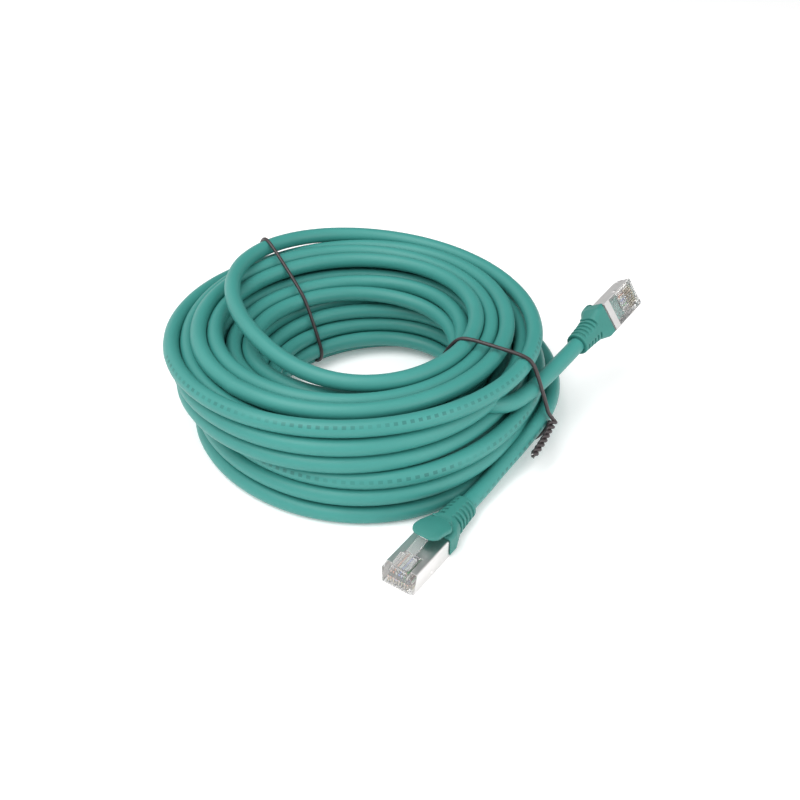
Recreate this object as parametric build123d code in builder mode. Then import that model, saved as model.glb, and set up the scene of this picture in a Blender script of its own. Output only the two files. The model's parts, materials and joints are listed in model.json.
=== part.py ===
"""Screened ethernet patch cable: a tied coil of round cable with an 8P8C plug on each end.

Units are millimetres. +Z is up and the coil stands on z = 0. The origin is the middle of the
whole cable's footprint. Each plug is built once in its own frame, with +X out of the nose,
+Z on the latch side and z = 0 on the contact side, and is then placed at both ends.
"""

import os
from math import cos, radians, sin, tan

from build123d import *

# ---- Cable and coil ----
CABLE_DIAMETER = 6.0
COIL_CENTRE = Vector(-18.5, 14.0, 0)
COIL_OUTER_RADIUS = 73.4
COIL_INNER_RADIUS = 35.0
COIL_HEIGHT = 39.0
COIL_CORNER = 13.0

# Routes of the two straight leads, from the boot's rear to where each joins the coil,
# measured from the coil's axis.
LEAD_A_ROUTE = [(36.1, -65.7, 4.5), (41.9, -57.5, 4.5), (48.6, -48.4, 6.4), (55.3, -40.4, 8.4)]
LEAD_B_ROUTE = [(80.8, -1.0, 26.7), (72.3, -12.0, 24.9), (61.6, -26.2, 24.2), (50.9, -38.8, 25.2)]

# Each plug points the way its lead's first run does, turned about that line by its roll in
# degrees: a lies flat with its latch up, and b stands off the coil's side on its stiff lead,
# with its contact side turned to the front.
PLUG_A_ROLL = 0.0
PLUG_B_ROLL = -123.0

# ---- Twist ties ----
TIE_DIAMETER = 1.4
TIE_CORE_DIAMETER = 0.5
TIE_GAP = 0.05
TIE_AZIMUTHS = {"right_tie": -24.0, "left_tie": 128.0}
TAIL_HEIGHT = 9.0
TAIL_LENGTH = 17.0
TAIL_PITCH = 5.0
TAIL_DROP = 14.0
TAIL_STANDS_OFF = 0.8
TAIL_TWIST_RADIUS = 0.6
KNOT_RADIUS = 1.6
KNOT_ROUND = 0.6

# ---- Plug, by the 8P8C standard; lengths run back from the nose ----
PLUG_LENGTH = 21.46
PLUG_WIDTH = 11.68
HOUSING_HEIGHT = 6.60
SHIELD_WALL = 0.28
HOUSING_WIDTH = PLUG_WIDTH - 2 * SHIELD_WALL
BEND_RADIUS = 0.35
NOSE_ROUND = 0.7
WIRE_COUNT = 8
PITCH = 1.02
WIRE_Z = 2.9
CHANNEL_DIAMETER = 0.94
CHANNEL_FRONT = 1.3
CAVITY_FRONT = 10.8
CAVITY_SIZE = (10.1, 4.7)
CAVITY_Z = 3.5
SLOT_WIDTH = 0.60
SLOT_DEPTH = 1.2
SLOT_REAR = 7.6
BLADE_THICKNESS = 0.30
BLADE_FRONT = 1.3
BLADE_REAR = 6.8
BLADE_EDGE_Z = 0.7
BLADE_TOP_Z = 2.3
TOOTH_TIP_Z = 3.1
TOOTH_WIDTH = 0.9
TOOTH_PLACES = (2.6, 5.4)
BAR_POCKET = (12.4, 15.9)
BAR_POCKET_WIDTH = 8.4
BAR_POCKET_DEPTH = 0.6

# Shield
SHIELD_REAR = 21.3
SHIELD_TOP_FRONT = 2.9
SHIELD_FOOT_FRONT = 0.9
SHIELD_BAND = (17.4, 20.9)
WINDOW_REAR = 9.5
WINDOW_WIDTH = 6.7
DIMPLE_X = 10.9
DIMPLE_Z = 1.3
DIMPLE_RADIUS = 1.2
DIMPLE_STANDS = 0.35

# Latch: a sloping tongue on a living hinge behind the nose lug
LUG = (0.5, 1.5)
LUG_HEIGHT = 0.95
LATCH_HINGE = (1.65, 6.98)
LATCH_SLOPE = 11.0
LATCH_WIDTH = 6.0
LATCH_TAB_WIDTH = 3.25
LATCH_GAP = 0.15
LATCH_SHOULDER = 5.3
LATCH_SHOULDER_START = 2.6
LATCH_SHOULDER_DEPTH = 0.35
LATCH_LENGTH = 13.3
LATCH_THICKNESS = 0.95
LATCH_END_ROUND = 1.2

# Boot and its hood
BOOT_FRONT = 20.6
BOOT_REAR = 39.6
CABLE_Z = 4.5
BOOT_POCKET_REAR = 21.6
BOOT_POCKET_WIDTH = PLUG_WIDTH + 0.1
BOOT_POCKET_TOP = HOUSING_HEIGHT + SHIELD_WALL + 0.1
BOOT_SECTIONS = [  # distance behind the nose, width, height, middle height, corner radius
    (20.6, 12.7, 8.4, 4.2, 1.5),
    (24.6, 12.7, 8.4, 4.2, 1.5),
    (28.6, 10.0, 8.8, 4.5, 3.4),
    (33.0, 9.3, 8.8, 4.5, 4.0),
    (39.6, 8.5, 8.4, 4.5, 4.0),
]
RIB_GROOVES = [28.9 + 2.1 * i for i in range(5)]
RIB_GROOVE_WIDTH = 0.9
RIB_GROOVE_DEPTH = 0.55
RIB_SPINE_WIDTH = 3.0
NECK_WIDTH = 9.0
NECK_TAPER = 0.09
HOOD_FRONT = 13.8
HOOD_REAR = 24.3
HOOD_WIDTH = 10.2
HOOD_CORNER = 3.2
HOOD_HINGE_Z = 9.15
HOOD_EDGE_ROUND = 0.5
HOOD_PROFILE = [  # side view from the top of the front edge, under the hood, to its rear edge
    (-HOOD_FRONT, 11.5),
    (-HOOD_FRONT, 10.85),
    (-22.2, 9.95),
    (-22.9, HOOD_HINGE_Z + 0.1),
    (-HOOD_REAR, HOOD_HINGE_Z),
    (-HOOD_REAR, 10.9),
]
HOOD_CROWN = (-19.0, 11.95)
HOOD_ROOT = (24.6, 26.4)
HOOD_ROOT_TOP = 10.6
HOOD_ROOT_WIDTH = 7.0
HOOD_ROOT_CUT = 1.0

# Jacket end, foil and conductors inside the plug and the boot
JACKET_SECTIONS = [  # distance behind the nose, width, height, middle height, corner radius
    (11.0, 9.6, 4.2, 3.5, 1.6),
    (21.0, 9.6, 4.2, 3.5, 1.6),
    (27.0, 6.0, 6.0, 4.5, 2.95),
    (39.6, 6.0, 6.0, 4.5, 2.95),
]
JACKET_WALL = 0.55
FOIL_GAP = 0.03
FOIL_WALL = 0.12
FOIL_FRONT = 12.6
WIRE_DIAMETER = 0.90
COPPER_DIAMETER = 0.48
WIRE_FRONT = 1.5
WIRE_FAN = (11.8, 14.8)  # from the flat row to the two rows inside the flattened jacket
WIRE_GATHER = (20.8, 27.4)  # from the two rows to the ring inside the round cable
WIRE_BENDS = [4.0, 4.0, 8.0, 8.0]
WIRE_RING = 1.5
WIRE_RING_ANGLES = (22.5, 67.5, 67.5, 22.5)
WIRE_STEP_Z = 0.68
UPPER_WIRES = (1, 2, 5, 6)
DRAIN_DIAMETER = 0.5
DRAIN_FRONT = 15.5
DRAIN_GATHER = (21.0, 26.5)
DRAIN_BENDS = [8.0, 8.0]
DRAIN_Z = 3.75
WIRE_NAMES = [
    "white_orange_wire",
    "orange_wire",
    "white_green_wire",
    "blue_wire",
    "white_blue_wire",
    "green_wire",
    "white_brown_wire",
    "brown_wire",
]


def rounded_section(distance, width, height, middle_z, corner, inset=0.0):
    """A rounded rectangle across the plug's axis, drawn in by inset all round."""
    with BuildSketch(Plane.YZ.offset(-distance)) as section:
        with Locations((0, middle_z)):
            RectangleRounded(width - 2 * inset, height - 2 * inset, corner - inset)
    return section.sketch


def through_sections(rows, inset=0.0):
    """A solid that runs straight from each section to the next."""
    with BuildPart() as form:
        for row, next_row in zip(rows, rows[1:]):
            loft([rounded_section(*row, inset), rounded_section(*next_row, inset)], ruled=True)
    return form.part


def bend_radii(points):
    """The largest even bend at each inner point: 0.45 of the shorter run over tan(half turn)."""
    radii = []
    for before, here, after in zip(points, points[1:], points[2:]):
        run_in, run_out = here - before, after - here
        half_turn = radians(run_in.get_angle(run_out)) / 2
        radii.append(0.45 * min(run_in.length, run_out.length) / tan(half_turn))
    return radii


def tube_along(points, diameter, radii):
    """A round rod along straight runs joined by arcs."""
    with BuildLine() as route:
        FilletPolyline(*points, radius=radii)
    path = route.wire()
    with BuildPart() as tube:
        with BuildSketch(Plane(origin=path @ 0, z_dir=path % 0)):
            Circle(diameter / 2)
        sweep(path=path)
    return tube.part


# ---- Pieces of one plug ----


def make_housing():
    """Clear body: nose with contact slots and wire channels, open rear for the jacket."""
    with BuildPart() as housing:
        with BuildSketch(Plane.XZ):
            with Locations((-PLUG_LENGTH / 2, HOUSING_HEIGHT / 2)):
                Rectangle(PLUG_LENGTH, HOUSING_HEIGHT)
            fillet(vertices().group_by(Axis.X)[-1], NOSE_ROUND)
        extrude(amount=HOUSING_WIDTH / 2, both=True)
        fillet(edges().filter_by(Axis.X).group_by(Axis.Z)[-1], BEND_RADIUS)
        # Lug that carries the latch's living hinge
        with BuildSketch(Plane.XZ):
            with Locations((-sum(LUG) / 2, HOUSING_HEIGHT + LUG_HEIGHT / 2)):
                Rectangle(LUG[1] - LUG[0], LUG_HEIGHT)
            fillet(vertices().group_by(Axis.Y)[-1].sort_by(Axis.X)[-1], NOSE_ROUND)
        extrude(amount=LATCH_WIDTH / 2, both=True)
        # Rear cavity for the jacket, and one channel for each wire
        with BuildSketch(Plane.YZ.offset(-PLUG_LENGTH)):
            with Locations((0, CAVITY_Z)):
                RectangleRounded(*CAVITY_SIZE, CAVITY_SIZE[1] / 3)
        extrude(amount=PLUG_LENGTH - CAVITY_FRONT, mode=Mode.SUBTRACT)
        with BuildSketch(Plane.YZ.offset(-CAVITY_FRONT)):
            with Locations((0, WIRE_Z)):
                with GridLocations(PITCH, 0, WIRE_COUNT, 1):
                    Circle(CHANNEL_DIAMETER / 2)
        extrude(amount=CAVITY_FRONT - CHANNEL_FRONT, mode=Mode.SUBTRACT)
        # Contact slots: wide mouths open at the nose, narrow slits up to the channels
        with BuildSketch(Plane.XY):
            with Locations((-SLOT_REAR / 2, 0)):
                with GridLocations(0, PITCH, 1, WIRE_COUNT):
                    Rectangle(SLOT_REAR, SLOT_WIDTH)
        extrude(amount=SLOT_DEPTH, mode=Mode.SUBTRACT)
        with BuildSketch(Plane.XY):
            with Locations((-(BLADE_FRONT + BLADE_REAR) / 2, 0)):
                with GridLocations(0, PITCH, 1, WIRE_COUNT):
                    Rectangle(BLADE_REAR - BLADE_FRONT, BLADE_THICKNESS)
        extrude(amount=TOOTH_TIP_Z, mode=Mode.SUBTRACT)
        # Pocket that the strain relief bar leaves in the contact side, and the shield's seat
        with BuildSketch(Plane.XY):
            with Locations((-sum(BAR_POCKET) / 2, 0)):
                Rectangle(BAR_POCKET[1] - BAR_POCKET[0], BAR_POCKET_WIDTH)
        extrude(amount=BAR_POCKET_DEPTH, mode=Mode.SUBTRACT)
        with BuildSketch(Plane.XY):
            with Locations((-(SHIELD_BAND[0] + PLUG_LENGTH) / 2, 0)):
                Rectangle(PLUG_LENGTH - SHIELD_BAND[0], HOUSING_WIDTH)
        extrude(amount=SHIELD_WALL, mode=Mode.SUBTRACT)
    return housing.part


def make_contacts():
    """Eight gold blades; their teeth pierce the wires."""
    half_tooth = TOOTH_WIDTH / 2
    outline = [(-BLADE_REAR, BLADE_EDGE_Z), (-BLADE_FRONT, BLADE_EDGE_Z), (-BLADE_FRONT, BLADE_TOP_Z)]
    for place in TOOTH_PLACES:
        outline += [
            (-place + half_tooth, BLADE_TOP_Z),
            (-place, TOOTH_TIP_Z),
            (-place - half_tooth, BLADE_TOP_Z),
        ]
    outline.append((-BLADE_REAR, BLADE_TOP_Z))
    with BuildPart() as blade:
        with BuildSketch(Plane.XZ):
            with BuildLine():
                Polyline(*outline, close=True)
            make_face()
            fillet(vertices().group_by(Axis.Y)[0], BEND_RADIUS)
        extrude(amount=BLADE_THICKNESS / 2, both=True)
    with BuildPart() as contacts:
        with GridLocations(0, PITCH, 1, WIRE_COUNT):
            add(blade.part)
    return contacts.part


def make_shield():
    """Nickel-plated can: top and sides, a closed band at the rear, a window for the latch."""
    top = HOUSING_HEIGHT + SHIELD_WALL
    with BuildPart() as shield:
        with BuildSketch(Plane.YZ.offset(-SHIELD_REAR)):
            with Locations((0, top / 2)):
                Rectangle(PLUG_WIDTH, top)
            fillet(vertices().group_by(Axis.Y)[-1], BEND_RADIUS + SHIELD_WALL)
        extrude(amount=SHIELD_REAR - SHIELD_FOOT_FRONT)
        sphere_y = PLUG_WIDTH / 2 + DIMPLE_STANDS - DIMPLE_RADIUS
        with Locations((-DIMPLE_X, sphere_y, DIMPLE_Z), (-DIMPLE_X, -sphere_y, DIMPLE_Z)):
            Sphere(DIMPLE_RADIUS)
        with BuildSketch(Plane.YZ.offset(-SHIELD_REAR)):
            with Locations((0, HOUSING_HEIGHT / 2)):
                Rectangle(HOUSING_WIDTH, HOUSING_HEIGHT)
            fillet(vertices().group_by(Axis.Y)[-1], BEND_RADIUS)
        extrude(amount=SHIELD_REAR, mode=Mode.SUBTRACT)
        with BuildSketch(Plane.XY):
            with Locations((-sum(SHIELD_BAND) / 2, 0)):
                Rectangle(SHIELD_BAND[1] - SHIELD_BAND[0], PLUG_WIDTH)
        extrude(amount=SHIELD_WALL)
        with BuildSketch(Plane.XY.offset(HOUSING_HEIGHT - BEND_RADIUS)):
            with Locations((-WINDOW_REAR / 2, 0)):
                Rectangle(WINDOW_REAR, WINDOW_WIDTH)
        extrude(amount=top, mode=Mode.SUBTRACT)
        # The front edge leans forward towards the contact side
        with BuildSketch(Plane.XZ):
            with BuildLine():
                Polyline((-SHIELD_TOP_FRONT, top), (-SHIELD_FOOT_FRONT, 0), (0, 0), (0, top), close=True)
            make_face()
        extrude(amount=PLUG_WIDTH, both=True, mode=Mode.SUBTRACT)
    return shield.part


def make_latch():
    """Clear locking tongue: wide shoulders that catch in the jack, narrow tab to press."""
    slope = radians(LATCH_SLOPE)
    tongue = Plane(
        origin=(-LATCH_HINGE[0], 0, LATCH_HINGE[1]),
        x_dir=(-cos(slope), 0, sin(slope)),
        z_dir=(sin(slope), 0, cos(slope)),
    )
    with BuildPart() as latch:
        with BuildSketch(tongue):
            with Locations(((LATCH_GAP + LATCH_SHOULDER) / 2, 0)):
                Rectangle(LATCH_SHOULDER - LATCH_GAP, LATCH_WIDTH)
            with Locations(((LATCH_SHOULDER + LATCH_LENGTH) / 2, 0)):
                Rectangle(LATCH_LENGTH - LATCH_SHOULDER, LATCH_TAB_WIDTH)
            fillet(vertices().group_by(Axis.X)[0], LATCH_END_ROUND)
        extrude(amount=LATCH_THICKNESS)
        with BuildSketch(tongue):
            with Locations(((LATCH_SHOULDER_START + LATCH_SHOULDER) / 2, 0)):
                Rectangle(LATCH_SHOULDER - LATCH_SHOULDER_START, LATCH_WIDTH)
        extrude(amount=-LATCH_SHOULDER_DEPTH)
    return latch.part


def make_boot(jacket_form):
    """Strain relief: cheeks over the plug's rear corners, a flare, and a ribbed neck."""
    with BuildPart() as boot:
        add(through_sections(BOOT_SECTIONS))
        # Root that the hood's living hinge springs from
        with BuildSketch(Plane.XZ):
            with BuildLine():
                Polyline(
                    (-HOOD_ROOT[0], CABLE_Z),
                    (-HOOD_ROOT[0], HOOD_ROOT_TOP),
                    (-HOOD_ROOT[1] + HOOD_ROOT_CUT, HOOD_ROOT_TOP),
                    (-HOOD_ROOT[1], HOOD_HINGE_Z - HOOD_ROOT_CUT),
                    (-HOOD_ROOT[1], CABLE_Z),
                    close=True,
                )
            make_face()
        extrude(amount=HOOD_ROOT_WIDTH / 2, both=True)
        with BuildSketch(Plane.YZ.offset(-BOOT_POCKET_REAR)):
            Rectangle(BOOT_POCKET_WIDTH, 2 * BOOT_POCKET_TOP)
        extrude(amount=BOOT_POCKET_REAR - BOOT_FRONT, mode=Mode.SUBTRACT)
        # Grooves round both sides of the neck, with a smooth spine above and below
        for groove in RIB_GROOVES:
            with BuildSketch(Plane.YZ.offset(-groove - RIB_GROOVE_WIDTH)):
                with Locations((0, CABLE_Z)):
                    Rectangle(2 * HOOD_WIDTH, 2 * HOOD_WIDTH)
                    neck = NECK_WIDTH - NECK_TAPER * (groove - RIB_GROOVES[0])
                    core = neck - 2 * RIB_GROOVE_DEPTH
                    Circle(core / 2, mode=Mode.SUBTRACT)
                    Rectangle(RIB_SPINE_WIDTH, 2 * HOOD_WIDTH, mode=Mode.SUBTRACT)
            extrude(amount=RIB_GROOVE_WIDTH, mode=Mode.SUBTRACT)
        add(jacket_form, mode=Mode.SUBTRACT)
    return boot.part


def make_hood():
    """Soft hood over the latch tab, joined to the boot along its rear edge."""
    with BuildPart() as hood:
        with BuildSketch(Plane.XZ):
            with BuildLine():
                Polyline(*HOOD_PROFILE)
                ThreePointArc(HOOD_PROFILE[-1], HOOD_CROWN, HOOD_PROFILE[0])
            make_face()
        extrude(amount=HOOD_WIDTH, both=True)
        with BuildSketch(Plane.XY):
            with Locations((-(HOOD_FRONT + HOOD_REAR) / 2, 0)):
                RectangleRounded(HOOD_REAR - HOOD_FRONT, HOOD_WIDTH, HOOD_CORNER)
        extrude(amount=2 * HOOD_WIDTH, mode=Mode.INTERSECT)
        top_face = faces().sort_by(Axis.Z)[-1]
        fillet(top_face.edges(), HOOD_EDGE_ROUND)
    return hood.part


def make_jacket_end(jacket_form):
    """The cable's jacket inside plug and boot, flattened where the plug grips it."""
    with BuildPart() as jacket_end:
        add(jacket_form)
        add(through_sections(JACKET_SECTIONS, JACKET_WALL), mode=Mode.SUBTRACT)
    return jacket_end.part


def make_foil():
    """Foil screen just inside the jacket."""
    outside = JACKET_WALL + FOIL_GAP
    with BuildPart() as foil:
        add(through_sections(JACKET_SECTIONS, outside))
        add(through_sections(JACKET_SECTIONS, outside + FOIL_WALL), mode=Mode.SUBTRACT)
        with BuildSketch(Plane.YZ.offset(-FOIL_FRONT)):
            Rectangle(2 * PLUG_WIDTH, 2 * PLUG_WIDTH)
        extrude(amount=FOIL_FRONT, mode=Mode.SUBTRACT)
    return foil.part


def wire_route(index):
    """One wire from its channel in the nose back to its place in the round cable."""
    row_y = (index - (WIRE_COUNT - 1) / 2) * PITCH
    around = radians(WIRE_RING_ANGLES[index // 2])
    ring_y = WIRE_RING * cos(around) * (1 if row_y > 0 else -1)
    rise = 1 if index in UPPER_WIRES else -1
    ring_z = CABLE_Z + WIRE_RING * sin(around) * rise
    step_z = CAVITY_Z + WIRE_STEP_Z * rise
    return [
        Vector(-WIRE_FRONT, row_y, WIRE_Z),
        Vector(-WIRE_FAN[0], row_y, WIRE_Z),
        Vector(-WIRE_FAN[1], row_y, step_z),
        Vector(-WIRE_GATHER[0], row_y, step_z),
        Vector(-WIRE_GATHER[1], ring_y, ring_z),
        Vector(-BOOT_REAR, ring_y, ring_z),
    ]


def make_wire(index):
    """Insulation of one conductor."""
    route = wire_route(index)
    with BuildPart() as wire:
        add(tube_along(route, WIRE_DIAMETER, WIRE_BENDS))
        add(tube_along(route, COPPER_DIAMETER, WIRE_BENDS), mode=Mode.SUBTRACT)
    return wire.part


def make_copper():
    """The eight copper conductors."""
    with BuildPart() as copper:
        for index in range(WIRE_COUNT):
            add(tube_along(wire_route(index), COPPER_DIAMETER, WIRE_BENDS))
    return copper.part


def make_drain():
    """Bare drain wire along the middle of the screened core."""
    route = [
        Vector(-DRAIN_FRONT, 0, DRAIN_Z),
        Vector(-DRAIN_GATHER[0], 0, DRAIN_Z),
        Vector(-DRAIN_GATHER[1], 0, CABLE_Z),
        Vector(-BOOT_REAR, 0, CABLE_Z),
    ]
    return tube_along(route, DRAIN_DIAMETER, DRAIN_BENDS)


def plug_place(route, roll):
    """The plug's frame, from its lead's first run and its roll about that run."""
    rear = COIL_CENTRE + Vector(*route[0])
    forward = (Vector(*route[0]) - Vector(*route[1])).normalized()
    upright = Vector(0, 0, 1) - forward * forward.Z
    latch_side = upright.normalized().rotate(Axis((0, 0, 0), forward), roll)
    return Plane(
        origin=rear + forward * BOOT_REAR - latch_side * CABLE_Z,
        x_dir=forward,
        z_dir=latch_side,
    )


# ---- Pieces of the coil ----


def tie_plane(azimuth):
    """The upright plane through the coil's axis: x is the radius, y is the height."""
    outward = Vector(cos(radians(azimuth)), sin(radians(azimuth)), 0)
    return Plane(origin=COIL_CENTRE, x_dir=outward, z_dir=outward.cross(Vector(0, 0, 1)))


def bundle_section(inset):
    """The coil's cross-section, drawn in by inset all round."""
    with BuildSketch() as section:
        with Locations(((COIL_INNER_RADIUS + COIL_OUTER_RADIUS) / 2, COIL_HEIGHT / 2)):
            RectangleRounded(
                COIL_OUTER_RADIUS - COIL_INNER_RADIUS - 2 * inset,
                COIL_HEIGHT - 2 * inset,
                COIL_CORNER - inset,
            )
    return section.sketch


def tie_loop(azimuth, diameter):
    """A wire drawn tight round the bundle, sunk flush into its surface."""
    with BuildSketch(tie_plane(azimuth)) as outline:
        add(bundle_section(TIE_DIAMETER / 2))
    path = outline.sketch.face().outer_wire()
    with BuildPart() as loop:
        with BuildSketch(Plane(origin=path @ 0, z_dir=path % 0)):
            Circle(diameter / 2)
        sweep(path=path)
    return loop.part


def knot_plane(azimuth):
    """The tie's knot: x points away from the coil, z along the tail, down round the coil."""
    frame = tie_plane(azimuth)
    centre = frame.from_local_coords(Vector(COIL_OUTER_RADIUS, TAIL_HEIGHT, 0))
    along = frame.z_dir.rotate(Axis((0, 0, 0), frame.x_dir), TAIL_DROP)
    return Plane(origin=centre, x_dir=frame.x_dir, z_dir=along)


def make_knot():
    """The tie's knot: a short round drum along z."""
    with BuildPart() as knot:
        with BuildSketch(Plane.XY.offset(-KNOT_RADIUS)):
            Circle(KNOT_RADIUS)
        extrude(amount=2 * KNOT_RADIUS)
        fillet(edges().filter_by(GeomType.CIRCLE), KNOT_ROUND)
    return knot.part


def make_tail():
    """The tie's knot and its two ends, twisted together along z."""
    with BuildLine() as twist:
        Helix(pitch=TAIL_PITCH, height=TAIL_LENGTH, radius=TAIL_TWIST_RADIUS)
    path = twist.wire()
    with BuildPart() as strand:
        with BuildSketch(Plane(origin=path @ 0, z_dir=path % 0)):
            Circle(TIE_DIAMETER / 2)
        sweep(path=path, is_frenet=True)
    with BuildPart() as tail:
        add(make_knot())
        with Locations((TAIL_STANDS_OFF, 0, 0)):
            with PolarLocations(0, 2):
                add(strand.part)
    return tail.part


def make_tie(azimuth):
    """The whole tie: loop, knot and twisted ends, around the steel core."""
    with BuildPart() as tie:
        add(tie_loop(azimuth, TIE_DIAMETER))
        add(make_tail().moved(knot_plane(azimuth).location))
        add(tie_loop(azimuth, TIE_CORE_DIAMETER), mode=Mode.SUBTRACT)
    return tie.part


def make_coil(leads):
    """The coiled cable's outer form, with seats for the ties and the two leads."""
    with BuildPart() as coil:
        with BuildSketch(tie_plane(0)):
            add(bundle_section(0))
        revolve(axis=Axis(COIL_CENTRE, (0, 0, 1)))
        for azimuth in TIE_AZIMUTHS.values():
            with BuildSketch(tie_plane(azimuth)):
                add(bundle_section(-TIE_DIAMETER))
                add(bundle_section(TIE_DIAMETER + TIE_GAP), mode=Mode.SUBTRACT)
            extrude(amount=TIE_DIAMETER / 2 + TIE_GAP, both=True, mode=Mode.SUBTRACT)
            add(make_knot().moved(knot_plane(azimuth).location), mode=Mode.SUBTRACT)
        for lead in leads:
            add(lead, mode=Mode.SUBTRACT)
    return coil.part


def make_lead(name, route):
    """One free stretch of cable, from the boot's rear to the coil."""
    points = [COIL_CENTRE + Vector(*point) for point in route]
    radii = bend_radii(points)
    lead = tube_along(points, CABLE_DIAMETER, radii)
    print(name, "bend radii", [round(radius) for radius in radii])
    return lead


def save(part, name):
    part.label = name
    export_step(part, f"parts/{name}.step")


os.makedirs("parts", exist_ok=True)

lead_a = make_lead("lead_a", LEAD_A_ROUTE)
lead_b = make_lead("lead_b", LEAD_B_ROUTE)
save(lead_a, "lead_a")
save(lead_b, "lead_b")
save(make_coil([lead_a, lead_b]), "cable_coil")
for tie_name, tie_azimuth in TIE_AZIMUTHS.items():
    save(make_tie(tie_azimuth), tie_name)
    save(tie_loop(tie_azimuth, TIE_CORE_DIAMETER), f"{tie_name}_core")

jacket = through_sections(JACKET_SECTIONS)
plug_pieces = {
    "housing": make_housing(),
    "contacts": make_contacts(),
    "shield": make_shield(),
    "latch": make_latch(),
    "boot": make_boot(jacket),
    "hood": make_hood(),
    "jacket_end": make_jacket_end(jacket),
    "foil": make_foil(),
    "drain_wire": make_drain(),
    "copper": make_copper(),
}
for index, wire_name in enumerate(WIRE_NAMES):
    plug_pieces[wire_name] = make_wire(index)

places = {
    "a": plug_place(LEAD_A_ROUTE, PLUG_A_ROLL),
    "b": plug_place(LEAD_B_ROUTE, PLUG_B_ROLL),
}
for end, place in places.items():
    for piece_name, piece in plug_pieces.items():
        save(piece.moved(place.location), f"{piece_name}_{end}")
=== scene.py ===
"""A coiled ethernet patch cable, tied twice, with a shielded plug in a soft boot on each end.

Units are metres and degrees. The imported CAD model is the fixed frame.
"""

import json
from math import atan2, cos, degrees, hypot, pi, radians, sin

import bpy
import numpy as np
from mathutils import Matrix, Vector


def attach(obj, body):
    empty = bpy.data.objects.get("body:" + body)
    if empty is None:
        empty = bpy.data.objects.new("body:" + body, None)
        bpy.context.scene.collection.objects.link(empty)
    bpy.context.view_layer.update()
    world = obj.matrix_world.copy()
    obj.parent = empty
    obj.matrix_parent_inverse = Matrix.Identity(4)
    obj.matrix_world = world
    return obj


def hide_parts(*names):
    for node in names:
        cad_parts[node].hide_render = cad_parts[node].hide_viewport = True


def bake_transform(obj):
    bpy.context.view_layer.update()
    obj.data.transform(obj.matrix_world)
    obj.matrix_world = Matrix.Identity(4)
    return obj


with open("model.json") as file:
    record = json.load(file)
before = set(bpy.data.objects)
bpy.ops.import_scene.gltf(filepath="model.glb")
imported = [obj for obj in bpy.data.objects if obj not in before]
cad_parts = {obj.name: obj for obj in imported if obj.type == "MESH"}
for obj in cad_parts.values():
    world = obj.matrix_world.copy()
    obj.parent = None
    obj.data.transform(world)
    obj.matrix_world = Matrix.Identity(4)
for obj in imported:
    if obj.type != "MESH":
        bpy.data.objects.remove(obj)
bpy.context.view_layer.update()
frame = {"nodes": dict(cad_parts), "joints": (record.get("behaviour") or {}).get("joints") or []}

scene = bpy.context.scene
nodes = frame["nodes"]

# ---- Cable and coil ----
CABLE_RADIUS = 0.003
CABLE_LENGTH = 10.0
COIL_CENTRE = Vector((-0.0185, 0.0140, 0))

# The straight leads, from each boot's rear to the coil, measured from the coil's axis
LEAD_A = [
    (0.0361, -0.0657, 0.0045),
    (0.0419, -0.0575, 0.0045),
    (0.0486, -0.0484, 0.0064),
    (0.0553, -0.0404, 0.0084),
]
LEAD_B = [
    (0.0808, -0.0010, 0.0267),
    (0.0723, -0.0120, 0.0249),
    (0.0616, -0.0262, 0.0242),
    (0.0509, -0.0388, 0.0252),
]

# The turns are worked out on upright half-planes round the coil's axis. In the front plane they
# lie in columns and rows, and the cable goes from one place to the next once a turn.
PLANES = 36
START_AZIMUTH = -36.2
COIL_START = (Vector(LEAD_A[-1]).xy.length, LEAD_A[-1][2])
FRONT_AZIMUTH = 270.0
COLUMN_RADII = (0.0405, 0.0466, 0.0527, 0.0588, 0.0650)
ROW_HEIGHTS = (0.003, 0.009, 0.015, 0.021, 0.027)
WINDING = (
    [(4, 1)]
    + [(column, 0) for column in (4, 3, 2, 1, 0)]
    + [(0, 1), (0, 2), (1, 2), (1, 1), (2, 1), (2, 2), (3, 2), (3, 1), (4, 2)]
    + [(column, 3) for column in (4, 3, 2, 1, 0)]
    + [(column, 4) for column in (0, 1, 2, 4)]
)
# Each of the last five turns, on top of the coil: its radius and height in the front plane. The
# last one dips under the first of them and leaves as lead B.
TOP_TURNS = [
    (0.0592, 0.0332),
    (0.0422, 0.0358),
    (0.0472, 0.0336),
    (0.0528, 0.0340),
    (0.0572, 0.0274),
]
# The first of them lies loose on its way to the second: azimuth, radius, height
LOOSE_TURN = [
    (300, 0.0600, 0.0335),
    (325, 0.0622, 0.0335),
    (360, 0.0650, 0.0335),
    (50, 0.0655, 0.0345),
    (90, 0.0707, 0.0360),
    (112, 0.0730, 0.0388),
    (128, 0.0710, 0.0416),
    (142, 0.0640, 0.0424),
    (157, 0.0530, 0.0424),
    (175, 0.0430, 0.0410),
    (200, 0.0375, 0.0395),
    (228, 0.0362, 0.0375),
    (250, 0.0388, 0.0362),
]
PLAN_ROUNDING = 12

# How far each level of the coil is pushed to the right and to the front
SHIFT_HEIGHTS = (0.003, 0.015, 0.022, 0.036)
SHIFT_RIGHT = (0.0048, 0.0050, -0.0035, -0.0055)
SHIFT_FRONT = (0.0065, 0.0022, 0.0002, -0.0055)
# Where the lower turns are pressed in, or bulge out if the depth is negative: azimuth, spread,
# depth, and the height up to which the dent is whole. It has gone at twice that height.
DENTS = [(228, 24, 0.0042, 0.016), (333, 26, 0.0062, 0.018), (50, 24, -0.0070, 0.020)]
COIL_MIDDLE = 0.0530
COIL_HALF_WIDTH = 0.0125
COIL_INNER = 0.031

# The pairs of heights and radii below say where a change starts and where it is whole. The upper
# turns lie looser at the left, where the ring's edges move apart,
LOOSE_AZIMUTH = 188
LOOSE_SPREAD = 56
LOOSE_WIDENING = 0.0018
LOOSE_HEIGHTS = (0.009, 0.027)
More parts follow.
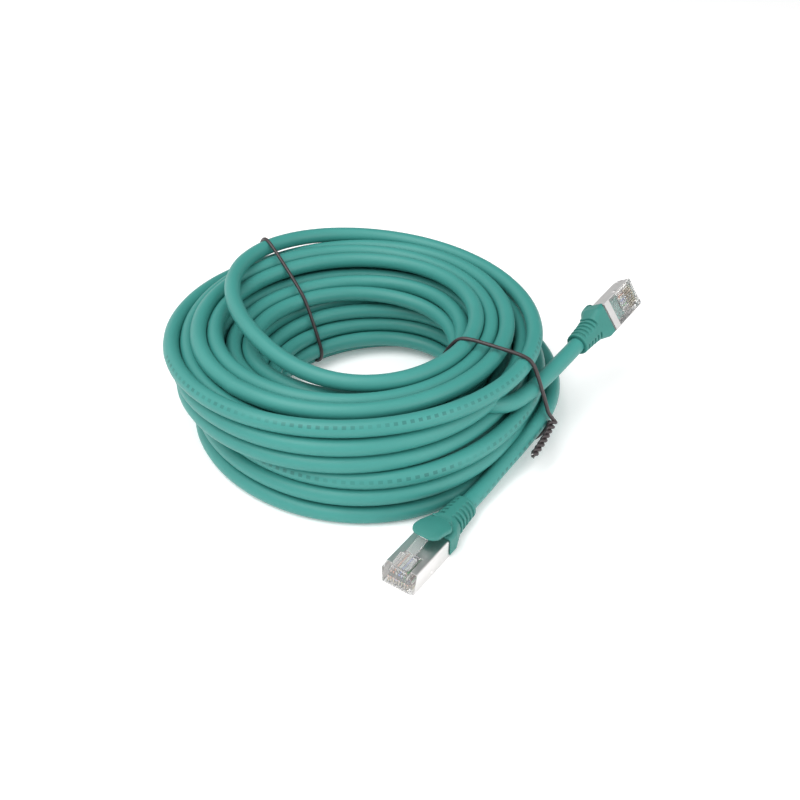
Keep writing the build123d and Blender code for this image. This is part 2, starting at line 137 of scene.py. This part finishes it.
# the inner ones of them stand higher there,
RISE_AZIMUTH = 228
RISE_SPREAD = 34
RISE_HEIGHT = 0.0042
RISE_HEIGHTS = (0.018, 0.027)
# and the outer ones on top stand higher at the back
BACK_AZIMUTH = 80
BACK_SPREAD = 50
BACK_RISE = 0.0018
BACK_HEIGHTS = (0.029, 0.0319)
BACK_RADII = (0.0517, 0.0567)

# How the turns settle: in how many rounds, how far apart they come to lie, the share of an
# overlap that each of two turns moves back in a round, the share that a turn moves back from a
# lead, the share of its way from the plan that a turn keeps, and how stiff the cable is
SETTLING_ROUNDS = 300
TURN_PITCH = 0.0061
PUSH_SHARE = 0.35
LEAD_PUSH_SHARE = 0.7
KEPT_SHARE = 0.995
STIFFNESS = 0.2
# The planes by the leads, and how far beyond a lead's end it still crosses one, in degrees
LEAD_PLANES = range(-3, 5)
LEAD_REACH = 4

STEPS_BETWEEN_POINTS = 4
STEPS_ROUND_TUBE = 5


def bump(azimuth, centre, spread):
    """1 at the centre, falling to nothing beyond the spread."""
    away = (azimuth - centre + 180) % 360 - 180
    return np.exp(-((away / spread) ** 2))


def ramp(value, nothing_at, all_at):
    """0 up to one end, 1 beyond the other, and a straight line in between."""
    return np.clip((value - nothing_at) / (all_at - nothing_at), 0, 1)


def shifted(azimuth, radius, height):
    """The radius at that azimuth of a turn whose own centre is pushed off the coil's axis."""
    right = np.interp(height, SHIFT_HEIGHTS, SHIFT_RIGHT)
    front = np.interp(height, SHIFT_HEIGHTS, SHIFT_FRONT)
    across = right * np.cos(np.radians(azimuth)) - front * np.sin(np.radians(azimuth))
    for place, spread, depth, top in DENTS:
        across = across - depth * bump(azimuth, place, spread) * ramp(height, 2 * top, top)
    outwards = (radius - COIL_MIDDLE) / COIL_HALF_WIDTH
    widening = LOOSE_WIDENING * ramp(height, *LOOSE_HEIGHTS) * outwards
    return radius + across + widening * bump(azimuth, LOOSE_AZIMUTH, LOOSE_SPREAD)


def raised(azimuth, radius, height):
    """The height at that azimuth of a turn, given its radius and height in the front plane."""
    inner = ramp(radius, COIL_MIDDLE, COIL_MIDDLE - COIL_HALF_WIDTH)
    rise = RISE_HEIGHT * inner * ramp(height, *RISE_HEIGHTS)
    back = BACK_RISE * ramp(radius, *BACK_RADII) * ramp(height, *BACK_HEIGHTS)
    rise = rise * bump(azimuth, RISE_AZIMUTH, RISE_SPREAD)
    return height + rise + back * bump(azimuth, BACK_AZIMUTH, BACK_SPREAD)


def towards_neighbours(values):
    """The way from each value, but the first and last, to the middle of its two neighbours."""
    return (values[:-2] + values[2:]) / 2 - values[1:-1]


def smooth_along(values, rounds):
    """The values smoothed along the cable: in a round, each goes half the way to that middle."""
    for _ in range(rounds):
        values[1:-1] += towards_neighbours(values) / 2
    return values


def start_from_lead(azimuths, radius, height):
    """Bend the first stretch of the plan so that it starts where lead A ends."""
    first = azimuths < FRONT_AZIMUTH
    share = (azimuths[first] - START_AZIMUTH) / (FRONT_AZIMUTH - START_AZIMUTH)
    start_radius, start_height = COIL_START
    radius[first] += (1 - share) ** 2 * (start_radius - radius[0])
    height[first] += (1 - share) ** 2 * (start_height - height[0])


def lay_loose_turn(azimuths, radius, height, loose_from):
    """Put the first turn on top on its own way to the second."""
    knots = [(0, *TOP_TURNS[0])]
    knots += [((azimuth - FRONT_AZIMUTH) % 360, r, h) for azimuth, r, h in LOOSE_TURN]
    knots.append((360, *TOP_TURNS[1]))
    after_front, radii, heights = zip(*knots)
    loose = (azimuths > loose_from) & (azimuths < loose_from + 360)
    radius[loose] = np.interp(azimuths[loose] - loose_from, after_front, radii)
    height[loose] = np.interp(azimuths[loose] - loose_from, after_front, heights)


def planned_turns(azimuths):
    """Radius and height of the cable at each azimuth of its winding, before the turns settle."""
    top_radii, top_heights = np.array(TOP_TURNS).T
    top_bases = top_radii - np.interp(top_heights, SHIFT_HEIGHTS, SHIFT_FRONT)
    bases = np.concatenate([[COLUMN_RADII[c] for c, _ in WINDING], top_bases])
    heights = np.concatenate([[ROW_HEIGHTS[r] for _, r in WINDING], top_heights])
    front_passings = np.arange(len(bases)) * 360 + FRONT_AZIMUTH
    base = np.interp(azimuths, front_passings, bases)
    height = np.interp(azimuths, front_passings, heights)
    # The last turn stays on top until it has passed the back
    last = azimuths > front_passings[-2]
    share = np.clip((azimuths[last] - front_passings[-2]) / 360, 0, 1)
    height[last] = heights[-2] + (heights[-1] - heights[-2]) * share**3
    radius = shifted(azimuths, base, height)
    height = raised(azimuths, base, height)
    start_from_lead(azimuths, radius, height)
    lay_loose_turn(azimuths, radius, height, front_passings[len(WINDING)])
    return smooth_along(radius, PLAN_ROUNDING), smooth_along(height, PLAN_ROUNDING)


def lead_places(lead):
    """Where a lead crosses the half-planes: {plane: (radius, height)}."""
    points = sorted((degrees(atan2(y, x)), hypot(x, y), z) for x, y, z in lead)
    azimuths, radii, heights = zip(*points)
    places = {}
    for plane in LEAD_PLANES:
        azimuth = START_AZIMUTH + plane * 360 / PLANES
        if azimuths[0] - LEAD_REACH < azimuth < azimuths[-1] + LEAD_REACH:
            place = np.interp(azimuth, azimuths, radii), np.interp(azimuth, azimuths, heights)
            places[plane % PLANES] = place
    return places


def settled_turns():
    """The whole coil's points: the planned turns, pushed apart where they would overlap."""
    turns = len(WINDING) + len(TOP_TURNS)
    count = turns * PLANES
    azimuths = START_AZIMUTH + np.arange(count) * 360 / PLANES
    plan = np.stack(planned_turns(azimuths), axis=1)
    place = plan.copy()
    obstacles = [crossing for lead in (LEAD_A, LEAD_B) for crossing in lead_places(lead).items()]
    for _ in range(SETTLING_ROUNDS):
        grid = place.reshape(turns, PLANES, 2)
        gap = grid[:, None] - grid[None]
        # A turn is far from itself, so that it isn't pushed by itself
        distance = np.linalg.norm(gap, axis=-1) + np.eye(turns)[:, :, None]
        overlap = np.clip(TURN_PITCH - distance, 0, None) / distance
        push = PUSH_SHARE * (gap * overlap[..., None]).sum(axis=1)
        for plane, at in obstacles:
            away = grid[:, plane] - at
            span = np.linalg.norm(away, axis=-1)
            overlap = np.clip(TURN_PITCH - span, 0, None) / span
            push[:, plane] += away * (LEAD_PUSH_SHARE * overlap)[:, None]
        moved = KEPT_SHARE * (place + push.reshape(count, 2) - plan)
        moved[1:-1] += STIFFNESS * towards_neighbours(moved)
        place = plan + moved
        place[:, 0] = np.maximum(place[:, 0], COIL_INNER)
        place[:, 1] = np.maximum(place[:, 1], CABLE_RADIUS)
        place[0] = COIL_START
    return azimuths, place


def on_coil(azimuth, radius, height):
    """A point in the frame, from its place round the coil's axis."""
    angle = radians(azimuth)
    return COIL_CENTRE + Vector((radius * cos(angle), radius * sin(angle), height))


def make_curve(name, points, radius):
    """A round tube along a smooth line that starts at the first point and ends at the last."""
    curve = bpy.data.curves.new(name, "CURVE")
    curve.dimensions = "3D"
    spline = curve.splines.new("NURBS")
    spline.points.add(len(points) - 1)
    for point, at in zip(spline.points, points):
        point.co = (*at, 1)
        point.radius = radius
    spline.order_u = 3
    spline.use_endpoint_u = True
    curve.resolution_u = STEPS_BETWEEN_POINTS
    curve.bevel_depth = 1
    curve.bevel_resolution = STEPS_ROUND_TUBE
    curve.use_fill_caps = True
    piece = bpy.data.objects.new(name, curve)
    scene.collection.objects.link(piece)
    return piece


coil_azimuths, coil_places = settled_turns()
cable_points = [COIL_CENTRE + Vector(p) for p in LEAD_A]
cable_points += [on_coil(a, *at) for a, at in zip(coil_azimuths[1:], coil_places[1:])]
cable_points += [COIL_CENTRE + Vector(p) for p in reversed(LEAD_B)]
cable = make_curve("cable", cable_points, CABLE_RADIUS)
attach(cable, "cable")
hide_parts("cable_coil", "lead_a", "lead_b")


# ---- Twist ties ----
TIE_RADIUS = 0.0007
TIE_CORE_RADIUS = 0.00025
TIE_AZIMUTHS = {"right": -24.0, "left": 128.0}
TIE_STEP = 0.0025
TIE_EASING = 8
TIE_SLACK = 0.0004
TURN_HULL_STEP = pi / 12
# The twisted ends run down along the coil's outside, from the knot
KNOT_HEIGHT = 0.0130
KNOT_OPENING = 0.0005
KNOT_CLOSES_AT = 0.2  # of the tail's length
TAIL_TURN = -12.5
TAIL_DROP = 0.0038
TAIL_PITCH = 0.0044
TAIL_STANDS_OFF = 0.0013
TAIL_POINTS = 46
CORE_SHOWS = 0.0008


def outer_hull(points):
    """The convex outline round flat points, anticlockwise."""
    points = sorted(set(points))
    halves = []
    for run in (points, points[::-1]):
        chain = []
        for p in run:
            while len(chain) > 1:
                (ax, ay), (bx, by) = chain[-2], chain[-1]
                if (bx - ax) * (p[1] - ay) - (by - ay) * (p[0] - ax) > 0:
                    break
                chain.pop()
            chain.append(p)
        halves += chain[:-1]
    return halves


def bundle_outline(azimuth, clearance):
    """The tight outline round every turn at that azimuth, as (radius, height) pairs."""
    plane = (azimuth - START_AZIMUTH) % 360 * PLANES / 360
    steps = np.arange(plane, len(coil_places) - 1, PLANES)
    order = np.arange(len(coil_places))
    radii = np.interp(steps, order, coil_places[:, 0])
    heights = np.interp(steps, order, coil_places[:, 1])
    reach = CABLE_RADIUS + clearance
    around = [
        (r + reach * cos(turn), h + reach * sin(turn))
        for r, h in zip(radii, heights)
        for turn in np.arange(0, 2 * pi, TURN_HULL_STEP)
    ]
    return outer_hull([(r, max(h, TIE_RADIUS)) for r, h in around])


def even_outline(outline, knot_height):
    """The outline at even steps, from the outermost side at the knot's height and back to it."""
    corners = [Vector(p) for p in outline]
    middle = sum(corners, Vector((0, 0))) / len(corners)
    places = []
    for here, there in zip(corners, corners[1:] + corners[:1]):
        steps = max(1, round((there - here).length / TIE_STEP))
        places += [here.lerp(there, n / steps) for n in range(steps)]
    outermost = max(places, key=lambda p: p.x)
    start = atan2(knot_height - middle.y, outermost.x - middle.x)
    places.sort(key=lambda p: (atan2(p.y - middle.y, p.x - middle.x) - start) % (2 * pi))
    for _ in range(TIE_EASING):
        around = zip(places[-1:] + places[:-1], places, places[1:] + places[:1])
        places = [here.lerp((before + after) / 2, 0.5) for before, here, after in around]
    return places


def tail_strand(azimuth, outer, phase):
    """One of the two strands of a tie's twisted end, from the knot down to its tip."""
    strand = []
    for n in range(TAIL_POINTS):
        share = n / (TAIL_POINTS - 1)
        at = azimuth + TAIL_TURN * share
        out = on_coil(at, 1, 0) - on_coil(at, 0, 0)
        along = Vector((0, 0, 1)).cross(out) * radians(TAIL_TURN) * outer
        aside = (along + Vector((0, 0, -TAIL_DROP))).cross(out).normalized()
        turn = phase + 2 * pi * share * along.length / TAIL_PITCH
        width = TIE_RADIUS + KNOT_OPENING * max(0, 1 - share / KNOT_CLOSES_AT)
        middle = on_coil(at, outer, KNOT_HEIGHT - TAIL_DROP * share)
        strand.append(middle + width * (out * cos(turn) + aside * sin(turn)))
    return strand


def tie_points(azimuth):
    """One wire: up the first twisted strand, round the bundle, and down the second strand."""
    outline = even_outline(bundle_outline(azimuth, TIE_RADIUS + TIE_SLACK), KNOT_HEIGHT)
    outer = max(place.x for place in outline) + TAIL_STANDS_OFF
    loop = [on_coil(azimuth, place.x, place.y) for place in outline[1:-1]]
    return tail_strand(azimuth, outer, 0)[::-1] + loop + tail_strand(azimuth, outer, pi)


def make_tie(side, azimuth):
    """A coated wire and the steel core that shows at its two cut ends."""
    points = tie_points(azimuth)
    tie = make_curve(f"{side}_twist_tie", points, TIE_RADIUS)
    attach(tie, "cable")
    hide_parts(f"{side}_tie")
    tips = [
        points[0] + (points[0] - points[1]).normalized() * CORE_SHOWS,
        points[-1] + (points[-1] - points[-2]).normalized() * CORE_SHOWS,
    ]
    core = make_curve(f"{side}_twist_tie_core", [tips[0], *points, tips[1]], TIE_CORE_RADIUS)
    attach(core, "cable")
    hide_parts(f"{side}_tie_core")
    return tie, core


ties = [make_tie(side, azimuth) for side, azimuth in TIE_AZIMUTHS.items()]


# ---- Boots and hoods ----
# Places along a plug are measured from its nose, so that those behind it are negative, and
# heights from the side that its contacts are on
BOOT_LENGTH = 0.0396
CABLE_OVER_CONTACTS = 0.0045
BOOT_VOXEL = 0.00022
BOOT_ROUNDING = 9
HOOD_VOXEL = 0.00016
HOOD_ROUNDING = 6
HOOD_HINGE = -0.0243
# The root reaches this far into the boot, and starts to do so this far in front of the hinge
HOOD_ROOT = 0.0006
HOOD_ROOT_FROM = 0.0004
# Where the hood starts to flare, and by what share of its width it has at its rear, on each side
# of the plug's middle
HOOD_FLARE_FROM = -0.0165
HOOD_FLARE = {"a": (-0.22, 0.18), "b": (0.0, 0.0)}
HOOD_DROOP = 0.0006
HOOD_HALF_WIDTH = 0.0051


def plug_axes(end, lead):
    """A plug's own axes in the frame: along its nose, across it, and towards its latch."""
    along = (Vector(lead[0]) - Vector(lead[1])).normalized()
    hood_joint = next(j for j in frame["joints"] if j["name"] == f"hood_press_{end}")
    up = along.cross(Vector(hood_joint["axis"])).normalized()
    origin = COIL_CENTRE + Vector(lead[0]) + along * BOOT_LENGTH - up * CABLE_OVER_CONTACTS
    axes = Matrix((along, up.cross(along), up)).transposed().to_4x4()
    axes.translation = origin
    return axes


def moulded_copy(name, node, voxel, rounds):
    """A soft moulding from a CAD solid: the same size, its edges and ribs rounded off."""
    piece = bpy.data.objects.new(name, nodes[node].data.copy())
    scene.collection.objects.link(piece)
    remesh = piece.modifiers.new("even_mesh", "REMESH")
    remesh.mode = "VOXEL"
    remesh.voxel_size = voxel
    smooth = piece.modifiers.new("rounding", "SMOOTH")
    smooth.factor = 0.5
    smooth.iterations = rounds
    evaluated = piece.evaluated_get(bpy.context.evaluated_depsgraph_get())
    mesh = bpy.data.meshes.new_from_object(evaluated)
    piece.modifiers.clear()
    piece.data = mesh
    mesh.materials.clear()
    mesh.polygons.foreach_set("use_smooth", [True] * len(mesh.polygons))
    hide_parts(node)
    return piece


def shape_hood(hood, axes, flare):
    """Sink the hood's root into the boot, flare its rear and let its sides droop there."""
    first_flare, second_flare = flare
    to_plug = axes.inverted()
    for vertex in hood.data.vertices:
        place = to_plug @ vertex.co
        place.x -= HOOD_ROOT * ramp(place.x, HOOD_HINGE + HOOD_ROOT_FROM, HOOD_HINGE)
        rear = ramp(place.x, HOOD_FLARE_FROM, HOOD_HINGE)
        rear *= rear * (3 - 2 * rear)
        side = min(1, abs(place.y) / HOOD_HALF_WIDTH) ** 2
        place.y *= 1 + (second_flare if place.y > 0 else first_flare) * rear
        place.z -= HOOD_DROOP * rear * side
        vertex.co = axes @ place


def make_boot(end, lead):
    """The boot, and its hood, whose root grows out of it."""
    boot = moulded_copy(f"moulded_boot_{end}", f"boot_{end}", BOOT_VOXEL, BOOT_ROUNDING)
    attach(boot, "cable")
    hood = moulded_copy(f"moulded_hood_{end}", f"hood_{end}", HOOD_VOXEL, HOOD_ROUNDING)
    axes = plug_axes(end, lead)
    shape_hood(hood, axes, HOOD_FLARE[end])
    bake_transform(hood)
    return boot, hood


boots = [make_boot("a", LEAD_A), make_boot("b", LEAD_B)]


# ---- Shader nodes ----
def add_node(tree, kind, **values):
    """A shader node with its properties, or its inputs where the name is an input's."""
    node = tree.nodes.new(kind)
    for name, value in values.items():
        socket = name.replace("_", " ").title()
        if socket in node.inputs:
            node.inputs[socket].default_value = value
        else:
            setattr(node, name, value)
    return node


def colour_sockets(sockets):
    """The sockets of a mix node that carry colours."""
    return [s for s in sockets if s.type == "RGBA"]


def math_node(tree, operation, first, second):
    """A maths node on a socket and a number, or on two sockets."""
    node = add_node(tree, "ShaderNodeMath", operation=operation)
    for socket, value in zip(node.inputs, (first, second)):
        if isinstance(value, (int, float)):
            socket.default_value = value
        else:
            tree.links.new(value, socket)
    return node.outputs[0]


def surface(name, colour, roughness, grain=3000, relief=0.00001, mottle=80, tint=0.08, **sockets):
    """A finish with a fine grain, uneven gloss and a slow drift of its colour.

    grain and mottle are in waves a metre. roughness is its lowest and highest value.
    """
    material = bpy.data.materials.new(name)
    material.use_nodes = True
    tree = material.node_tree
    shader = tree.nodes["Principled BSDF"]
    for socket, value in sockets.items():
        shader.inputs[socket.replace("_", " ")].default_value = value
    place = add_node(tree, "ShaderNodeTexCoord")
    fine = add_node(tree, "ShaderNodeTexNoise", scale=grain, detail=3)
    slow = add_node(tree, "ShaderNodeTexNoise", scale=mottle, detail=2)
    gloss = add_node(tree, "ShaderNodeMapRange", to_min=roughness[0], to_max=roughness[1])
    drift = add_node(tree, "ShaderNodeMix", data_type="RGBA")
    for socket, factor in zip(colour_sockets(drift.inputs), (1 - tint, 1 + tint)):
        socket.default_value = (*[min(1, c * factor) for c in colour], 1)
    grained = add_node(tree, "ShaderNodeBump", strength=1.0, distance=relief)
    tree.links.new(place.outputs["Object"], fine.inputs["Vector"])
    tree.links.new(place.outputs["Object"], slow.inputs["Vector"])
    tree.links.new(slow.outputs["Fac"], drift.inputs["Factor"])
    tree.links.new(fine.outputs["Fac"], gloss.inputs["Value"])
    tree.links.new(gloss.outputs["Result"], shader.inputs["Roughness"])
    tree.links.new(colour_sockets(drift.outputs)[0], shader.inputs["Base Color"])
    tree.links.new(fine.outputs["Fac"], grained.inputs["Height"])
    tree.links.new(grained.outputs["Normal"], shader.inputs["Normal"])
    return material


# ---- Materials ----
# The ink marks: a row of dashes as long as MARK_ROW comes every MARK_EVERY of the cable. The
# middle of the rows and half their width are in turns round the cable.
MARK_EVERY = 0.8556
MARK_ROW = 0.15
MARK_PITCH = 0.0024
MARK_DUTY = 0.5
MARK_TURN = 0.395
MARK_HALF_WIDTH = 0.032
MARK_INK = (0.012, 0.085, 0.078)
# How much of the ink is left where it is most and least worn, and how often that changes a metre
MARK_FAINTEST = 0.1
MARK_DARKEST = 0.5
MARK_WEAR = 70

GREEN = (0.045, 0.254, 0.226)
SATIN = dict(Specular_IOR_Level=0.35)
JACKET = dict(roughness=(0.36, 0.5), grain=2600, relief=0.000012, mottle=45, **SATIN)
BOOT = dict(roughness=(0.45, 0.58), grain=4200, relief=0.000016, mottle=160, **SATIN)
TIE = dict(roughness=(0.25, 0.42), grain=1500, relief=0.00004, mottle=300, tint=0.25)
CLEAR = dict(grain=900, relief=0.000006, mottle=120, tint=0.02, Transmission_Weight=0.87, IOR=1.33)
NICKEL = dict(roughness=(0.3, 0.42), grain=1100, relief=0.000006, mottle=260, tint=0.06)
GOLD = dict(roughness=(0.2, 0.36), grain=2500, relief=0.000005, mottle=400)
FOIL = dict(roughness=(0.18, 0.4), grain=1600, relief=0.00012, mottle=500, tint=0.05)
PAIR_COLOURS = {
    "orange": (0.75, 0.22, 0.03),
    "green": (0.04, 0.33, 0.10),
    "blue": (0.03, 0.14, 0.52),
    "brown": (0.20, 0.09, 0.04),
}
WIRE_ROUGHNESS = (0.35, 0.5)
# A white wire's colour: so much white, and so much of its pair's colour
WHITE_BASE = 0.62
WHITE_TINT = 0.28


def mark_places(tree, place, length):
    """1 where a dash is, by the cable's own length and turn, and 0 elsewhere."""
    split = add_node(tree, "ShaderNodeSeparateXYZ")
    tree.links.new(place.outputs["UV"], split.inputs["Vector"])
    metres = math_node(tree, "MULTIPLY", split.outputs["X"], length)
    ahead = math_node(tree, "ADD", metres, MARK_ROW / 2)
    row = math_node(tree, "LESS_THAN", math_node(tree, "MODULO", ahead, MARK_EVERY), MARK_ROW)
    dash = math_node(tree, "MODULO", metres, MARK_PITCH)
    dash = math_node(tree, "LESS_THAN", dash, MARK_PITCH * MARK_DUTY)
    beside = math_node(tree, "SUBTRACT", split.outputs["Y"], MARK_TURN)
    beside = math_node(tree, "ABSOLUTE", beside, 0)
    band = math_node(tree, "LESS_THAN", beside, MARK_HALF_WIDTH)
    return math_node(tree, "MULTIPLY", math_node(tree, "MULTIPLY", row, dash), band)


def add_marks(material, length):
    """Rows of plain ink dashes, unevenly worn, at intervals along a cable."""
    tree = material.node_tree
    shader = tree.nodes["Principled BSDF"]
    place = add_node(tree, "ShaderNodeTexCoord")
    dashes = mark_places(tree, place, length)
    worn = add_node(tree, "ShaderNodeTexNoise", scale=MARK_WEAR, detail=1)
    tree.links.new(place.outputs["Object"], worn.inputs["Vector"])
    faded = add_node(
        tree, "ShaderNodeMapRange", from_min=0.3, from_max=0.6, to_min=MARK_FAINTEST, to_max=MARK_DARKEST
    )
    tree.links.new(worn.outputs["Fac"], faded.inputs["Value"])
    ink = math_node(tree, "MULTIPLY", dashes, faded.outputs["Result"])
    printed = add_node(tree, "ShaderNodeMix", data_type="RGBA")
    plain, inked = colour_sockets(printed.inputs)
    tree.links.new(shader.inputs["Base Color"].links[0].from_socket, plain)
    inked.default_value = (*MARK_INK, 1)
    tree.links.new(ink, printed.inputs["Factor"])
    tree.links.new(colour_sockets(printed.outputs)[0], shader.inputs["Base Color"])


marked_jacket = surface("marked_jacket_pvc", GREEN, **JACKET)
add_marks(marked_jacket, CABLE_LENGTH)
cable.data.materials.append(marked_jacket)

tie_plastic = surface("tie_pvc", (0.037, 0.027, 0.029), **TIE)
tie_steel = surface("steel_wire", (0.55, 0.54, 0.53), (0.2, 0.4), grain=5000, Metallic=1.0)
for tie, core in ties:
    tie.data.materials.append(tie_plastic)
    core.data.materials.append(tie_steel)

boot_pvc = surface("boot_pvc", (0.036, 0.208, 0.18), **BOOT)
for pieces in boots:
    for piece in pieces:
        piece.data.materials.append(boot_pvc)

NODE_MATERIALS = {
    "housing": surface("clear_housing_pc", (0.97, 0.97, 0.96), (0.02, 0.10), **CLEAR),
    "latch": surface("clear_latch_pc", (0.97, 0.98, 0.97), (0.03, 0.12), **CLEAR),
    "shield": surface("nickel_plate", (0.74, 0.73, 0.72), **NICKEL, Metallic=1.0),
    "contacts": surface("gold_plate", (0.93, 0.82, 0.62), **GOLD, Metallic=1.0),
    "jacket_end": surface("jacket_pvc", GREEN, **JACKET),
    "foil": surface("aluminium_foil", (0.75, 0.75, 0.77), **FOIL, Metallic=1.0),
    "drain_wire": surface(
        "tinned_copper", (0.66, 0.65, 0.63), (0.25, 0.45), grain=3500, relief=0.00004, Metallic=1.0
    ),
    "copper": surface("bare_copper", (0.87, 0.42, 0.26), (0.2, 0.38), relief=0.000008, Metallic=1.0),
}
for pair, colour in PAIR_COLOURS.items():
    paler = [WHITE_BASE + WHITE_TINT * c for c in colour]
    NODE_MATERIALS[f"{pair}_wire"] = surface(f"{pair}_pe", colour, WIRE_ROUGHNESS, grain=2500)
    NODE_MATERIALS[f"white_{pair}_wire"] = surface(
        f"white_{pair}_pe", paler, WIRE_ROUGHNESS, grain=2500
    )
for part, material in NODE_MATERIALS.items():
    for end in "ab":
        for slot in nodes[f"{part}_{end}"].material_slots:
            slot.material = material


# ---- Camera, light and stage ----
CAMERA_PLACE = Vector((-0.0041, -0.2789, 0.2133))
CAMERA_TARGET = Vector((-0.0041, 0.0145, 0))
SENSOR_MILLIMETRES = 36
LENS_MILLIMETRES = 41.5
NEAREST_SEEN = 0.01
# Each light's place, size and power
LIGHTS = {
    "key_light": ((-0.35, -0.35, 0.75), 0.5, 2.6),
    "fill_light": ((0.6, -0.5, 0.4), 0.6, 2),
    "top_light": ((-0.3, 0.05, 0.95), 0.6, 3.0),
}
WORLD_STRENGTH = 0.95
# The world is white but for a darker wall in this direction, with a soft edge
DARK_WALL = (0.25, 0.75, 0.55)
DARK_WALL_LIGHT = 0.12
FLOOR_REACH = 3

camera = bpy.data.objects.new("camera", bpy.data.cameras.new("camera"))
scene.collection.objects.link(camera)
camera.data.sensor_width = SENSOR_MILLIMETRES
camera.data.lens = LENS_MILLIMETRES
camera.data.clip_start = NEAREST_SEEN
camera.location = CAMERA_PLACE
camera.rotation_euler = (CAMERA_TARGET - CAMERA_PLACE).to_track_quat("-Z", "Y").to_euler()
scene.camera = camera
scene.view_settings.view_transform = "Standard"


def add_area_light(name, place, size, power):
    """A square light that faces the frame's origin."""
    light = bpy.data.lights.new(name, "AREA")
    light.size = size
    light.energy = power
    lamp = bpy.data.objects.new(name, light)
    lamp.location = place
    lamp.rotation_euler = (-Vector(place)).to_track_quat("-Z", "Y").to_euler()
    scene.collection.objects.link(lamp)


def add_world():
    """White light from all round, apart from a darker wall behind, which plated parts reflect."""
    world = bpy.data.worlds.new("studio")
    scene.world = world
    world.use_nodes = True
    tree = world.node_tree
    background = tree.nodes["Background"]
    background.inputs["Strength"].default_value = WORLD_STRENGTH
    place = add_node(tree, "ShaderNodeTexCoord")
    facing = add_node(tree, "ShaderNodeVectorMath", operation="DOT_PRODUCT")
    facing.inputs[1].default_value = Vector(DARK_WALL).normalized()
    shade = add_node(
        tree, "ShaderNodeMapRange", from_min=0.6, from_max=0.95, to_min=1, to_max=DARK_WALL_LIGHT
    )
    tree.links.new(place.outputs["Generated"], facing.inputs[0])
    tree.links.new(facing.outputs["Value"], shade.inputs["Value"])
    tree.links.new(shade.outputs["Result"], background.inputs["Color"])


def add_floor():
    """A wide sheet of white card, which glows a little so that it stays white to its edges."""
    corners = [(FLOOR_REACH * x, FLOOR_REACH * y, 0) for x, y in ((-1, -1), (1, -1), (1, 1), (-1, 1))]
    mesh = bpy.data.meshes.new("floor")
    mesh.from_pydata(corners, [], [(0, 1, 2, 3)])
    floor = bpy.data.objects.new("floor", mesh)
    scene.collection.objects.link(floor)
    card = dict(grain=900, relief=0.000005, mottle=5, tint=0.004, Emission_Strength=0.15)
    mesh.materials.append(surface("white_card", (0.95, 0.95, 0.95), (0.55, 0.65), **card))


for name, light in LIGHTS.items():
    add_area_light(name, *light)
add_world()
add_floor()

bpy.context.view_layer.update()
